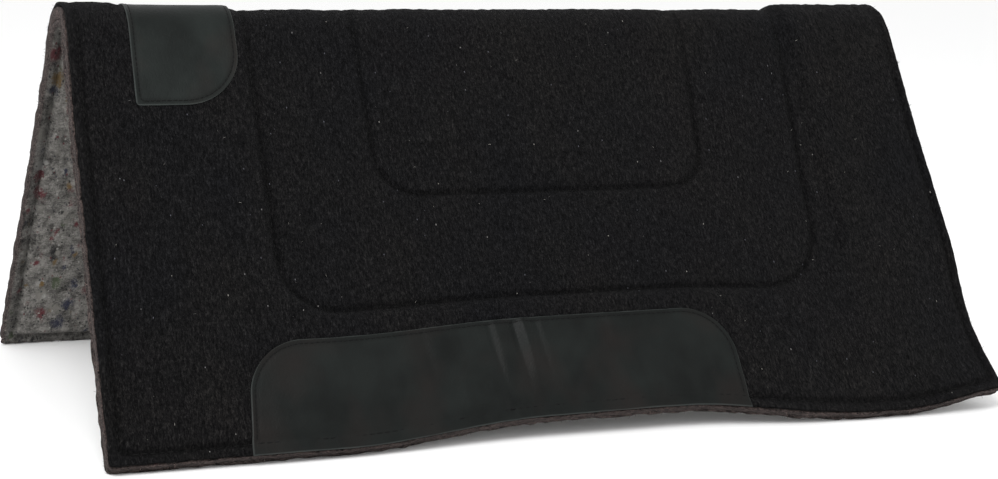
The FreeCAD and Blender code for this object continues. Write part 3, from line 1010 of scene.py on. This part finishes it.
for seam, line in (("edge", edge_line), ("outer_quilt", outer_line), ("inner_quilt", inner_line)):
    surface = face_or_leather if seam == "edge" else outer_face
    rows_of_stitches = {
        "needle": sew(seam + "_needle_stitches", line, surface, **face_stitch),
        "bobbin": sew(seam + "_bobbin_stitches", line, inner_face, **back_stitch)}
    for kind, piece in rows_of_stitches.items():
        bend_over_spine(piece)
        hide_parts(f"left_{seam}_{kind}_thread", f"right_{seam}_{kind}_thread")

for side, flap in ((-1, "left"), (1, "right")):
    line, seam = wear_lines[side], flap + "_wear_leather"
    rows_of_stitches = {
        "needle": sew(seam + "_needle_stitches", line, leather_face(line, True), **leather_stitch),
        "bobbin": sew(seam + "_bobbin_stitches", line, under_face, **leather_stitch)}
    for kind, piece in rows_of_stitches.items():
        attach(piece, flap + "_side")
        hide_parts(f"{seam}_{kind}_thread")

rows_of_stitches = {
    "needle": sew(
        "wither_patch_needle_stitches", patch_line, leather_face(patch_line, False), **leather_stitch),
    "bobbin": sew("wither_patch_bobbin_stitches", patch_line, under_face, **leather_stitch)}
for kind, piece in rows_of_stitches.items():
    bend_over_spine(piece)
    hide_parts(f"left_wither_patch_{kind}_thread", f"right_wither_patch_{kind}_thread")

# %% [markdown]
# # Loose fibres
#
# No cut felt is clean: fibre ends stand out of the edge all round, and a few pale hairs of lint
# cling to the black face. Particle hair would draw them, but it leaves no mesh. So one fibre is
# a bent three-sided spike, made by pulling a triangle out three times and shrinking it, and
# some thousands of turned copies are scattered where fibres are found.

# %% One fibre
fibre_shape = bmesh.new()
bmesh.ops.create_circle(fibre_shape, cap_ends=True, segments=3, radius=0.055)
tip = fibre_shape.faces[:]
reached = Vector((0, 0, 0))
for bend, rise, shrink in ((0.03, 0.35, 0.85), (0.13, 0.7, 0.7), (0.3, 1.0, 0.35)):
    pulled = bmesh.ops.extrude_face_region(fibre_shape, geom=tip, use_keep_orig=rise < 0.5)["geom"]
    corners = [item for item in pulled if isinstance(item, bmesh.types.BMVert)]
    tip = [item for item in pulled if isinstance(item, bmesh.types.BMFace)]
    centre = Vector((bend, 0, rise))
    bmesh.ops.translate(fibre_shape, verts=corners, vec=centre - reached)
    bmesh.ops.scale(fibre_shape, verts=corners, vec=(shrink, shrink, 1), space=Matrix.Translation(-centre))
    reached = centre
bmesh.ops.recalc_face_normals(fibre_shape, faces=fibre_shape.faces)
one_fibre = finished_mesh(fibre_shape, "one_fibre")
print(f"one fibre has {len(one_fibre.polygons)} faces")


# %% Scatter fibres
def fibre_finish(name, dark, light):
    material, tree, shader = new_material(name)
    coordinates = node(tree, "ShaderNodeTexCoord")
    wool = noise_level(tree, coordinates.outputs["Object"], scale=260.0, detail=2.0)
    tree.links.new(ramp(tree, wool, [(0.4, dark), (0.62, light)]), shader.inputs["Base Color"])
    shader.inputs["Roughness"].default_value = 0.8
    shader.inputs["Specular IOR Level"].default_value = 0.1
    return material


def scatter(name, roots, headings, lengths, material, seed):
    """Copies of the fibre at their roots, each pointing its own way and rolled at random."""
    rolls = np.random.default_rng(seed).uniform(0, 2 * math.pi, len(roots))
    tuft = bmesh.new()
    for root, heading, length, roll in zip(roots, headings, lengths, rolls):
        turned = Vector(heading).to_track_quat("Z", "Y").to_matrix().to_4x4()
        turned = turned @ Matrix.Rotation(roll, 4, "Z") @ Matrix.Scale(length, 4)
        fibre = one_fibre.copy()
        fibre.transform(Matrix.Translation(root) @ turned)
        tuft.from_mesh(fibre)
        bpy.data.meshes.remove(fibre)
    for vertex in tuft.verts:
        vertex.co.z = max(vertex.co.z, 0.1 * MM)
    piece = show(name, finished_mesh(tuft, name))
    piece.data.materials.append(material)
    bend_over_spine(piece)
    print(f"{name}: {len(roots)} fibres")


def edge_fibres(name, count, shares, longest, material, seed):
    """Fibre ends out of the cut edge, between two shares of the way through the pad."""
    draw = np.random.default_rng(seed)
    on_end = draw.random(count) < half_width / (half_length + half_width)
    side, place = draw.choice((-1, 1), count), draw.uniform(-1, 1, count)
    inset = draw.uniform(1.2, 2.0, count) * MM
    along = np.where(on_end, side * (half_length - inset), place * (half_length - 4 * MM))
    across = np.where(on_end, place * (half_width - 4 * MM), side * (half_width - inset))
    outside = broad_face(along, across, puffs[0])
    height = outside - draw.uniform(*shares, count) * (outside + pad_thickness)
    roots = fold(along, across, height)
    ahead = fold(along + np.where(on_end, side, 0) * MM, across + np.where(on_end, 0, side) * MM, height)
    headings = (ahead - roots) / MM + draw.normal(0, 0.55, (count, 3))
    lengths = 1.6 * MM + (longest - 1.6 * MM) * draw.random(count) ** 3
    scatter(name, roots, headings, lengths, material, seed)


edge_fibres("face_edge_fibres", 900, (0.02, 0.16), 3.6 * MM, fibre_finish(
    "black_fibres", grey(0.004), grey(0.02)), 21)
edge_fibres("core_edge_fibres", 1300, (0.18, 0.6), 4.0 * MM, fibre_finish(
    "brown_fibres", (0.02, 0.014, 0.012), (0.3, 0.22, 0.2)), 22)
edge_fibres("underside_edge_fibres", 1300, (0.62, 0.97), 4.0 * MM, fibre_finish(
    "grey_fibres", (0.03, 0.026, 0.024), (0.36, 0.33, 0.3)), 23)

lint_count = 260
lint_bend = 0.8
draw = np.random.default_rng(24)
lint_along = draw.uniform(-0.97, 0.97, lint_count) * half_length
lint_across = draw.uniform(-0.95, 0.95, lint_count) * half_width
on_felt = under_leather(lint_along, lint_across) < -3 * MM
lint_along, lint_across = lint_along[on_felt], lint_across[on_felt]
lint_roots = fold(lint_along, lint_across, outer_face(lint_along, lint_across) - 0.1 * MM)
lint_up = fold(lint_along, lint_across, 1 * MM) - fold(lint_along, lint_across, 0)
lint_headings = 0.5 * lint_up / MM + draw.normal(0, lint_bend, lint_roots.shape)
scatter("lint", lint_roots, lint_headings, draw.uniform(1.0, 2.6, len(lint_roots)) * MM, fibre_finish(
    "pale_fibres", grey(0.06), (0.4, 0.38, 0.34)), 25)

# %% [markdown]
# # Studio
#
# A plain pale floor that runs out to the horizon, a bright even sky, one large soft light from
# above the front left, and a weak fill from the right. That is enough to draw the valleys and
# the sheen of the leather.
# The camera stands at the front left of the pad and looks slightly down.

# %% Floor, light and camera
floor_shape = bmesh.new()
bmesh.ops.create_circle(floor_shape, cap_ends=True, segments=64, radius=14.0)
floor = show("floor", finished_mesh(floor_shape, "floor"))
floor_paint, _, floor_shader = new_material("pale_floor")
floor_shader.inputs["Base Color"].default_value = (0.93, 0.93, 0.93, 1.0)
floor_shader.inputs["Roughness"].default_value = 0.9
floor.data.materials.append(floor_paint)

world = bpy.data.worlds.new("studio")
world.use_nodes = True
sky = world.node_tree.nodes["Background"]
sky.inputs["Color"].default_value = (1.0, 1.0, 1.0, 1.0)
sky.inputs["Strength"].default_value = 1.0
bpy.context.scene.world = world
bpy.context.scene.view_settings.view_transform = "Standard"


def soft_light(name, place, target, size, power):
    data = bpy.data.lights.new(name, "AREA")
    data.shape = "DISK"
    data.size = size
    data.energy = power
    lamp = bpy.data.objects.new(name, data)
    lamp.location = place
    lamp.rotation_euler = (Vector(target) - Vector(place)).to_track_quat("-Z", "Y").to_euler()
    bpy.context.scene.collection.objects.link(lamp)


soft_light("key", (-1.2, -1.6, 2.2), (0, 0, 0.15), 1.4, 60)
soft_light("fill", (1.8, -1.8, 1.2), (0, 0, 0.15), 1.8, 10)

# %% Camera
camera_data = bpy.data.cameras.new("camera")
camera_data.sensor_width = 36.0
camera_data.lens = 78.96
camera = bpy.data.objects.new("camera", camera_data)
bpy.context.scene.collection.objects.link(camera)
look_at = Vector((0.0109, 0.0, crown_height - 0.1662))
camera_distance = 1.927
yaw, pitch, roll = (math.radians(angle) for angle in (22.72, 10.23, 1.76))
forward = Vector((math.sin(yaw) * math.cos(pitch), math.cos(yaw) * math.cos(pitch), -math.sin(pitch)))
camera.rotation_mode = "QUATERNION"
camera.rotation_quaternion = (
    Matrix.Rotation(-roll, 4, forward).to_quaternion() @ forward.to_track_quat("-Z", "Y"))
camera.location = look_at - camera_distance * forward
bpy.context.scene.camera = camera
